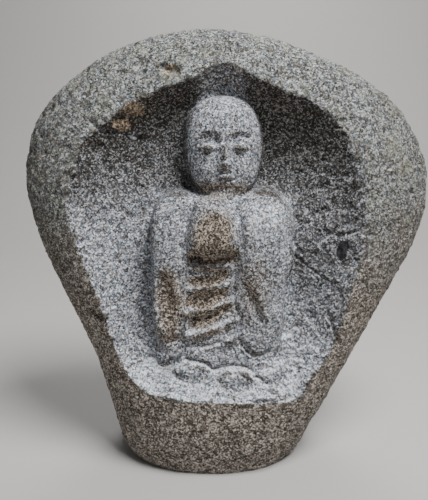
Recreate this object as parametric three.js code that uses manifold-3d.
// A river boulder, broad above and narrow at its foot, with a niche pecked into its face.
// In the niche a small standing monk is left in relief, palms joined, on a lotus seat.
// It is all one stone. Millimetres, +Z up, the face looks along -Y,
// and the origin is on the ground under the middle of the stone.

import * as THREE from "three";
import { mergeVertices } from "three/addons/utils/BufferGeometryUtils.js";
import Module from "manifold-3d";

const wasm = await Module();
wasm.setup();

// Boulder: overall size, and how far its face and back stand from its widest plane
const STONE_HEIGHT = 300;
const STONE_WIDTH = 279;
const STONE_FRONT = 60;
const STONE_BACK = 54;
const STONE_SQUARENESS = 2.3;

// Ground flat that the boulder stands on
const FOOT_WIDTH = 112;
const FOOT_FRONT = 47;
const FOOT_BACK = 40;
const FOOT_SHIFT = -9;

// Niche: the bare stone left around its mouth, its depth at mid height, and its back's backward lean
const CROWN = 23;
const SILL = 59;
const LEFT_RIM = 35.5;
const RIGHT_RIM = 51.5;
const NICHE_DEPTH = 44;
const NICHE_LEAN = 0.12;
const MOUTH_STANDOFF = 20;

// Figure: room over its head, its place across the stone, and how far each part of it
// stands out of the niche's back; what lies deeper than the back by EMBED is grown into it
const HEADROOM = 21;
const FIGURE_SHIFT = -4.5;
const ROBE_RELIEF = 23;
const SLEEVE_RELIEF = 29;
const ARM_RELIEF = 30;
const HAND_RELIEF = 38;
const HEAD_RELIEF = 31;
const EMBED = 6;

// Lotus seat under the robe
const SEAT_RISE = 27;
const SEAT_WIDTH = 70;
const SEAT_RELIEF = 24;
const SEAT_TILT = -0.11;
const PETALS = 2;
const PETAL_WIDTH = 27;
const PETAL_HEIGHT = 15;
const PETAL_GAP = 2.5;
const PETAL_SHIFT = -4;
const PETAL_RELIEF = 30;
const PETAL_STEP = 3;
const UPPER_PETAL = 1.4;

// Fineness of the faceting
const STONE_RINGS = 26;
const STONE_SIDES = 52;
const MOUTH_SIDES = 68;
const BOWL_RINGS = 8;
const CURVE_SAMPLES = 600;

// Share of one step of a rounded end that is left flat, so that no ring closes to a point
const BLUNT = 0.3;

const NICHE_TOP = STONE_HEIGHT - CROWN;
const SEAT_TOP = SILL + SEAT_RISE;
const FIGURE_HEIGHT = NICHE_TOP - HEADROOM - SEAT_TOP;

// Outline of the boulder from the front, from its left foot over the crown to its right foot:
// [share of the half width, share of the height]
const STONE_OUTLINE = [
  [-0.545, 0.035], [-0.582, 0.113], [-0.665, 0.247], [-0.787, 0.38], [-0.915, 0.517],
  [-0.985, 0.64], [-0.97, 0.745], [-0.86, 0.84], [-0.565, 0.947], [-0.3, 0.987],
  [-0.03, 1], [0.34, 0.96], [0.735, 0.872], [0.92, 0.775], [1, 0.65],
  [0.945, 0.53], [0.79, 0.385], [0.618, 0.228], [0.462, 0.09], [0.385, 0.022],
];

// Outline of the boulder from the side, from the front of its foot over the crown to the back
const STONE_PROFILE = [
  [-0.94, 0.07], [-1, 0.28], [-0.97, 0.48], [-0.83, 0.68], [-0.6, 0.85], [-0.3, 0.965],
  [0, 1], [0.34, 0.965], [0.68, 0.85], [0.9, 0.68], [1, 0.48], [1, 0.28], [0.88, 0.07],
];

// Mouth of the niche from the front, from its apex down the left side and round:
// [share of the way from the niche's middle to its side, share of its height]
const MOUTH_OUTLINE = [
  [0.045, 1], [-0.1, 0.957], [-0.43, 0.903], [-0.68, 0.838], [-0.88, 0.765], [-0.93, 0.7],
  [-1, 0.58], [-0.9, 0.441], [-0.75, 0.25], [-0.65, 0.111], [-0.54, 0.044], [-0.38, 0.014],
  [0.1, 0.008], [0.56, 0], [0.65, 0.055], [0.81, 0.16], [0.9, 0.309], [1, 0.507],
  [0.985, 0.63], [0.88, 0.785], [0.66, 0.878], [0.45, 0.913], [0.233, 0.96],
];

// How steeply the niche's wall leaves its rim: the power that its depth follows, by direction
const WALL_POWER = { top: 5, side: 2.1, bottom: 8 };

// Under 1, the bowl's rings crowd towards its rim, where its wall is steep
const BOWL_CROWDING = 0.4;

const superRound = (t, power) => Math.sign(t) * Math.abs(t) ** (2 / power);
const lerp = THREE.MathUtils.lerp;

// A closed mesh as a solid, ready to join or cut
function solidOf(geometry) {
  const bare = geometry.clone();
  bare.deleteAttribute("normal");
  bare.deleteAttribute("uv");
  const merged = mergeVertices(bare, 1e-4);
  return new wasm.Manifold(
    new wasm.Mesh({
      numProp: 3,
      vertProperties: merged.attributes.position.array,
      triVerts: new Uint32Array(merged.index.array),
    }),
  );
}

// A solid's surface back as a geometry
function geometryOf(solid) {
  const { vertProperties, triVerts } = solid.getMesh();
  const geometry = new THREE.BufferGeometry();
  geometry.setAttribute("position", new THREE.BufferAttribute(vertProperties, 3));
  geometry.setIndex(new THREE.BufferAttribute(triVerts, 1));
  geometry.computeVertexNormals();
  return geometry;
}

// A closed skin over rings of points, each ring counterclockwise seen from the last one,
// with a fan of triangles over the first and the last
function skinOf(rings) {
  const count = rings[0].length;
  const middle = (ring) =>
    ring.reduce((sum, p) => sum.add(p), new THREE.Vector3()).divideScalar(count);
  const points = [...rings.flat(), middle(rings[0]), middle(rings.at(-1))];
  const firstMiddle = rings.length * count;
  const lastRing = firstMiddle - count;
  const triangles = [];
  for (let i = 0; i < count; i++) {
    const next = (i + 1) % count;
    for (let low = 0; low < lastRing; low += count) {
      const high = low + count;
      triangles.push(low + i, low + next, high + next, low + i, high + next, high + i);
    }
    triangles.push(firstMiddle, next, i, firstMiddle + 1, lastRing + i, lastRing + next);
  }
  const geometry = new THREE.BufferGeometry().setFromPoints(points);
  geometry.setIndex(triangles);
  return geometry;
}

// The two places where a closed silhouette crosses height z, from points that run up one
// side and down the other; its foot is spread to the given ends
function silhouette(outline, low, high, footLow, footHigh) {
  const reach = Math.max(...outline.map(([a]) => Math.abs(a)));
  const place = ([a, share]) =>
    new THREE.Vector3(((a < 0 ? -low : high) * a) / reach, 0, share * STONE_HEIGHT);
  const points = [
    new THREE.Vector3(footLow, 0, 0), ...outline.map(place), new THREE.Vector3(footHigh, 0, 0),
  ];
  const curve = new THREE.CatmullRomCurve3(points, false, "centripetal");
  const samples = curve.getPoints(CURVE_SAMPLES);
  const crown = samples.reduce((best, p, i) => (p.z > samples[best].z ? i : best), 0);
  const stretch = STONE_HEIGHT / samples[crown].z;
  const sides = [samples.slice(0, crown + 1), samples.slice(crown).reverse()];
  return (z) =>
    sides.map((side) => {
      const above = Math.max(1, side.findIndex((p) => p.z * stretch >= z));
      const [under, over] = [side[above - 1], side[above]];
      const share = (z / stretch - under.z) / (over.z - under.z);
      return lerp(under.x, over.x, THREE.MathUtils.clamp(share, 0, 1));
    });
}

const stoneSides = silhouette(
  STONE_OUTLINE, -STONE_WIDTH / 2, STONE_WIDTH / 2,
  FOOT_SHIFT - FOOT_WIDTH / 2, FOOT_SHIFT + FOOT_WIDTH / 2,
);
const stoneFaces = silhouette(STONE_PROFILE, -STONE_FRONT, STONE_BACK, -FOOT_FRONT, FOOT_BACK);

// The boulder's own face in front of the point (x, z)
function faceAt(x, z) {
  const [left, right] = stoneSides(z);
  const across = Math.min(1, Math.abs((2 * x - left - right) / (right - left)));
  return stoneFaces(z)[0] * (1 - across ** STONE_SQUARENESS) ** (1 / STONE_SQUARENESS);
}

// The niche's back behind the height z
const backAt = (z) =>
  NICHE_DEPTH - STONE_FRONT + NICHE_LEAN * (z - (SILL + NICHE_TOP) / 2);

// The whole boulder before it was carved, in level rings that close up at the crown
function boulder() {
  const rings = [];
  const rise = (r) => (1 - Math.cos((Math.PI * r) / (STONE_RINGS - 1 + BLUNT))) / 2;
  for (let r = 0; r < STONE_RINGS; r++) {
    const [left, right] = stoneSides(STONE_HEIGHT * rise(r));
    const [front, back] = stoneFaces(STONE_HEIGHT * rise(r));
    const z = (STONE_HEIGHT * rise(r)) / rise(STONE_RINGS - 1);
    rings.push(
      Array.from({ length: STONE_SIDES }, (_, i) => {
        const turn = (2 * Math.PI * i) / STONE_SIDES;
        const across = superRound(Math.cos(turn), STONE_SQUARENESS);
        const deep = superRound(Math.sin(turn), STONE_SQUARENESS);
        const x = (left + right + across * (right - left)) / 2;
        return new THREE.Vector3(x, deep < 0 ? -deep * front : deep * back, z);
      }),
    );
  }
  return solidOf(skinOf(rings));
}

// What was pecked out: a bowl from the niche's deepest place forward to its rim on the face
function hollow() {
  const left = LEFT_RIM - STONE_WIDTH / 2;
  const right = STONE_WIDTH / 2 - RIGHT_RIM;
  const middle = new THREE.Vector3((left + right) / 2, 0, (SILL + NICHE_TOP) / 2);
  const rim = new THREE.CatmullRomCurve3(
    MOUTH_OUTLINE.map(([across, up]) => new THREE.Vector3(
      middle.x + (across * (right - left)) / 2, 0, lerp(SILL, NICHE_TOP, up),
    )),
    true, "centripetal",
  ).getSpacedPoints(MOUTH_SIDES).slice(0, MOUTH_SIDES);
  const halfWidth = (right - left) / 2;
  const halfHeight = (NICHE_TOP - SILL) / 2;
  const rings = [];
  for (let r = 1; r <= BOWL_RINGS; r++) {
    const share = (r / BOWL_RINGS) ** BOWL_CROWDING;
    rings.push(
      rim.map((p) => {
        const ray = p.clone().sub(middle);
        const out = ray.clone().normalize().z;
        const power = lerp(WALL_POWER.side, out > 0 ? WALL_POWER.top : WALL_POWER.bottom, out ** 2);
        // Towards the back the rings turn from the mouth's outline into a plain oval
        const oval = ray.clone().divideScalar(Math.hypot(ray.x / halfWidth, ray.z / halfHeight));
        const point = middle.clone().addScaledVector(oval.lerp(ray, share ** 2), share);
        point.y = lerp(backAt(point.z), faceAt(p.x, p.z), share ** power);
        return point;
      }),
    );
  }
  rings.push(
    rings.at(-1).map((p) => new THREE.Vector3(p.x, -STONE_FRONT - MOUTH_STANDOFF, p.z)),
  );
  return solidOf(skinOf(rings));
}

// A place in the figure, in shares of its height from the middle of its hem,
// standing out of the niche's back by relief
function inFigure(across, up, relief) {
  const z = SEAT_TOP + up * FIGURE_HEIGHT;
  return new THREE.Vector3(FIGURE_SHIFT + across * FIGURE_HEIGHT, backAt(z) - relief, z);
}

// A blunt rounded lump; power 2 makes it an ellipsoid and more makes it squarer,
// and taper narrows it towards its top
function lump(middle, [across, deep, high], { power = 2, taper = 0, sides = 20, tilt = 0 } = {}) {
  const steps = Math.round(sides * 0.6);
  const rings = Array.from({ length: steps }, (_, j) => {
    const turn = (Math.PI * (j + BLUNT)) / (steps - 1 + 2 * BLUNT);
    const rise = superRound(-Math.cos(turn), power);
    const width = Math.sin(turn) ** (2 / power) * (1 - taper * rise);
    return Array.from({ length: sides }, (_, i) => {
      const round = (2 * Math.PI * i) / sides;
      const offset = new THREE.Vector3(
        superRound(Math.cos(round), power) * across * width,
        superRound(Math.sin(round), power) * deep * width,
        rise * high,
      );
      return offset.applyAxisAngle(new THREE.Vector3(0, 1, 0), tilt).add(middle);
    });
  });
  return solidOf(skinOf(rings));
}

// A roll of stone with blunt round ends through the given places: [across, up, relief, radius],
// with the relief of its crest and the radius in shares of the figure's height
function roll(places, { sides = 8, steps = 9, flatness = 1 } = {}) {
  const at = (t, pick) => {
    const along = t * (places.length - 1);
    const low = Math.min(Math.floor(along), places.length - 2);
    return lerp(pick(places[low]), pick(places[low + 1]), along - low);
  };
  const path = new THREE.CatmullRomCurve3(
    places.map(([across, up, relief, radius]) =>
      inFigure(across, up, relief - radius * flatness * FIGURE_HEIGHT)),
    false, "centripetal",
  );
  const rings = Array.from({ length: steps }, (_, j) => {
    const turn = (Math.PI * (j + BLUNT)) / (steps - 1 + 2 * BLUNT);
    const t = (1 - Math.cos(turn)) / 2;
    const radius = at(t, (place) => place[3]) * FIGURE_HEIGHT * Math.sin(turn) ** 0.6;
    const ahead = path.getTangent(t);
    const side = new THREE.Vector3(0, -1, 0).cross(ahead).normalize();
    const out = ahead.clone().cross(side);
    return Array.from({ length: sides }, (_, i) => {
      const round = (2 * Math.PI * i) / sides;
      return path.getPoint(t)
        .addScaledVector(side, Math.cos(round) * radius)
        .addScaledVector(out, Math.sin(round) * radius * flatness);
    });
  });
  return solidOf(skinOf(rings));
}

const join = (solids) => solids.reduce((sum, solid) => sum.add(solid));
const figureSize = (...shares) => shares.map((share) => share * FIGURE_HEIGHT);

// How far the robe would still stand out where it narrows to nothing, as a share of its relief
const NARROW_RELIEF = 0.45;

// Half width of the robe's body at heights from its hem to its neck
const ROBE_BODY = [
  [0, 0.17], [0.05, 0.2], [0.12, 0.235], [0.3, 0.252], [0.46, 0.262], [0.54, 0.262], [0.585, 0.248],
  [0.613, 0.215], [0.63, 0.16], [0.64, 0.09],
];

// The robe's body from hem to neck: a flat-backed block, round at the shoulders
function robe() {
  const sides = 26;
  const widest = Math.max(...ROBE_BODY.map(([, half]) => half));
  const rings = ROBE_BODY.map(([up, half]) =>
    Array.from({ length: sides }, (_, i) => {
      const round = (2 * Math.PI * i) / sides;
      const out = superRound(Math.sin(round), 3);
      const front = ROBE_RELIEF * lerp(NARROW_RELIEF, 1, half / widest);
      const relief = out < 0 ? -out * front : -out * EMBED;
      return inFigure(superRound(Math.cos(round), 3) * half, up, relief);
    }),
  );
  return solidOf(skinOf(rings));
}

// Folds hung across the robe between the sleeves, each lower one falling further to the left
const FOLDS = {
  count: 5, left: -0.142, right: 0.072, flare: 0.004, top: 0.362,
  leftPitch: 0.09, rightPitch: 0.066, dip: 0.006, radius: 0.021, proud: 0.02, flatness: 1.8,
};

function folds() {
  const { count, left, right, flare, top, leftPitch, rightPitch, dip, radius, proud, flatness } = FOLDS;
  return Array.from({ length: count }, (_, k) => {
    const [from, to] = [Math.max(top - k * leftPitch, 0.01), top - k * rightPitch];
    const crest = ROBE_RELIEF + proud * FIGURE_HEIGHT;
    const middle = lerp(from, to, 0.4) - dip * k;
    return roll([
      [left, from, crest, radius],
      [lerp(left, right, 0.4), middle, crest, radius],
      [right + k * flare, to, crest, radius * 0.8],
    ], { sides: 6, steps: 9, flatness });
  });
}

// The sleeves, hung from the shoulders to blunt ends: [across, low, high, half width, taper, tilt]
const SLEEVES = [
  [-0.199, 0.03, 0.605, 0.067, 0, 0],
  [0.163, -0.02, 0.605, 0.097, -0.1, -0.02],
];
// The long hollow down the left sleeve and the slanting crease in the right one:
// [across, up, height of the cut's crest over the sleeve, radius]
const SLEEVE_CUTS = [
  [[-0.208, 0.36, 0.018, 0.034], [-0.207, 0.2, 0.018, 0.042], [-0.2, 0.06, 0.018, 0.036]],
  [[0.086, 0.31, 0.012, 0.022], [0.13, 0.21, 0.012, 0.024], [0.18, 0.07, 0.018, 0.022]],
];

function sleeves() {
  const solids = SLEEVES.map(([across, low, high, halfWidth, taper, tilt]) => lump(
    inFigure(across, (low + high) / 2, 0),
    [halfWidth * FIGURE_HEIGHT, SLEEVE_RELIEF, ((high - low) / 2) * FIGURE_HEIGHT],
    { power: 4, taper, tilt, sides: 20 },
  ));
  const cuts = SLEEVE_CUTS.map((places) => roll(
    places.map(([across, up, over, radius]) =>
      [across, up, SLEEVE_RELIEF + over * FIGURE_HEIGHT, radius]),
    { sides: 8, steps: 8 },
  ));
  return join(solids).subtract(join(cuts));
}

// Forearms inside the sleeves, from the elbows up to the joined palms
function arms() {
  return SLEEVES.map(([sleeve]) => {
    const palm = HANDS.across + Math.sign(sleeve) * HANDS.apart;
    return roll([
      [sleeve, 0.44, ARM_RELIEF * 0.93, 0.085],
      [lerp(sleeve, palm, 0.5), 0.46, ARM_RELIEF, 0.08],
      [palm, 0.5, ARM_RELIEF * 1.07, 0.07],
    ], { sides: 12, steps: 8, flatness: 0.6 });
  });
}

// Palms joined before the chest, fingertips under the chin
const HANDS = {
  across: -0.032, up: 0.512, apart: 0.034, halfWidth: 0.054, halfHeight: 0.113, halfDepth: 0.1,
  taper: 0.2,
};

function hands() {
  const { across, up, apart, halfWidth, halfHeight, halfDepth, taper } = HANDS;
  return [-1, 1].map((side) => lump(
    inFigure(across + side * apart, up, HAND_RELIEF - halfDepth * FIGURE_HEIGHT),
    figureSize(halfWidth, halfDepth, halfHeight),
    { power: 2.7, taper, sides: 14, tilt: side * -0.09 },
  ));
}

// The round shaven head. The face is calm: eyes closed at half its height, one eye's width
// between them, the nose ending halfway from brow to chin, the mouth a third below that
const HEAD = { across: 0.014, up: 0.806, halfWidth: 0.155, halfHeight: 0.194, halfDepth: 0.15, power: 2.4 };
const FACE = {
  eyeAcross: 0.4, lidHalf: [0.036, 0.022, 0.02], lidSink: 0.11,
  socketHalf: [0.052, 0.03, 0.034], socketUp: 0.1, socketOut: 0.11,
  lashUp: -0.055, lashHalf: [0.034, 0.012, 0.0045],
  browUp: 0.2, noseEnd: -0.36, mouthUp: -0.56, chinUp: -0.8,
};

function head() {
  const { halfWidth, halfHeight, halfDepth, power } = HEAD;
  const middleRelief = HEAD_RELIEF - halfDepth * FIGURE_HEIGHT;
  // Relief of the face at shares of its half width and half height, out by a share of its half depth
  const reliefAt = (across, high, out) => {
    const round = Math.max(0, 1 - Math.abs(across) ** power - Math.abs(high) ** power) ** (1 / power);
    return middleRelief + halfDepth * FIGURE_HEIGHT * (round + out);
  };
  const onFace = (across, high, out = 0) =>
    inFigure(HEAD.across + across * halfWidth, HEAD.up + high * halfHeight, reliefAt(across, high, out));
  const feature = (places) => roll(
    places.map(([across, high, out, radius]) => [
      HEAD.across + across * halfWidth, HEAD.up + high * halfHeight, reliefAt(across, high, out), radius,
    ]),
    { sides: 8, steps: 8 },
  );
  const pair = (across, high, out, half, tilt = 0) => join([-1, 1].map((side) => lump(
    onFace(side * across, high, out), figureSize(...half), { sides: 14, tilt: side * tilt },
  )));
  const { eyeAcross, browUp, noseEnd, mouthUp, chinUp } = FACE;
  const skull = lump(
    inFigure(HEAD.across, HEAD.up, middleRelief),
    figureSize(halfWidth, halfDepth, halfHeight), { power, sides: 28 },
  );
  const sockets = pair(eyeAcross, FACE.socketUp, FACE.socketOut, FACE.socketHalf, 0.15);
  const lids = pair(eyeAcross, 0, -FACE.lidSink, FACE.lidHalf);
  const lashes = pair(eyeAcross, FACE.lashUp, 0, FACE.lashHalf);
  const nose = feature([
    [0, browUp, 0.01, 0.014], [0, -0.1, 0.06, 0.018], [0, noseEnd + 0.07, 0.13, 0.026],
  ]);
  const wings = feature([
    [-0.19, noseEnd + 0.05, 0.02, 0.014], [0, noseEnd + 0.06, 0.06, 0.02],
    [0.19, noseEnd + 0.05, 0.02, 0.014],
  ]);
  const upperLip = feature([
    [-0.29, mouthUp, -0.03, 0.008], [0, mouthUp + 0.035, 0.035, 0.014], [0.29, mouthUp, -0.03, 0.008],
  ]);
  const lowerLip = feature([
    [-0.22, mouthUp - 0.07, -0.03, 0.01], [0, mouthUp - 0.1, 0.03, 0.016],
    [0.22, mouthUp - 0.07, -0.03, 0.01],
  ]);
  const chin = lump(onFace(0, chinUp, -0.24), figureSize(0.06, 0.045, 0.04), { sides: 12 });
  return join([skull.subtract(sockets), lids, nose, wings, upperLip, lowerLip, chin])
    .subtract(lashes);
}

// The toes of one foot, just showing under the hem
function foot() {
  return lump(inFigure(0.03, 0.004, ROBE_RELIEF), figureSize(0.036, 0.034, 0.03), { sides: 10 });
}

// The lotus seat: a low mound under the hem, and two rows of broad petals in front of it,
// the upper row half a petal to the side; all of it sinks a little to the right
function seat() {
  const pitch = PETAL_WIDTH + PETAL_GAP;
  const onSeat = (across, z) => {
    const level = z + across * SEAT_TILT;
    return new THREE.Vector3(FIGURE_SHIFT + across, backAt(level), level);
  };
  const mound = lump(
    onSeat(0, SEAT_TOP - SEAT_RISE / 3), [SEAT_WIDTH / 2, SEAT_RELIEF, SEAT_RISE / 3],
    { power: 2.6, sides: 24, tilt: -SEAT_TILT },
  );
  const widths = [1, UPPER_PETAL];
  const petals = [0, 1].flatMap((row) => Array.from({ length: PETALS }, (_, i) => {
    const across = PETAL_SHIFT + (i - (PETALS - 1 - row) / 2) * pitch;
    return lump(
      onSeat(across, SILL + PETAL_HEIGHT * (0.85 + 0.55 * row)),
      [(PETAL_WIDTH / 2) * widths[row], PETAL_RELIEF - PETAL_STEP * row, PETAL_HEIGHT / 2],
      { power: 2.8, sides: 16, tilt: -SEAT_TILT },
    );
  }));
  return join([mound, ...petals]);
}

const figure = join([robe(), ...folds(), sleeves(), ...arms(), ...hands(), head(), foot(), seat()]);
const stone = boulder().subtract(hollow()).add(figure);

const granite = new THREE.MeshStandardMaterial({ color: 0x8b8a86, roughness: 0.95, metalness: 0 });
const statue = new THREE.Mesh(geometryOf(stone), granite);
statue.name = "jizo_stone";

// The origin goes under the middle of the stone's overall box
statue.geometry.computeBoundingBox();
const middle = statue.geometry.boundingBox.getCenter(new THREE.Vector3());
statue.position.set(-middle.x, -middle.y, -statue.geometry.boundingBox.min.z);

const group = new THREE.Group();
group.add(statue);
export default group;
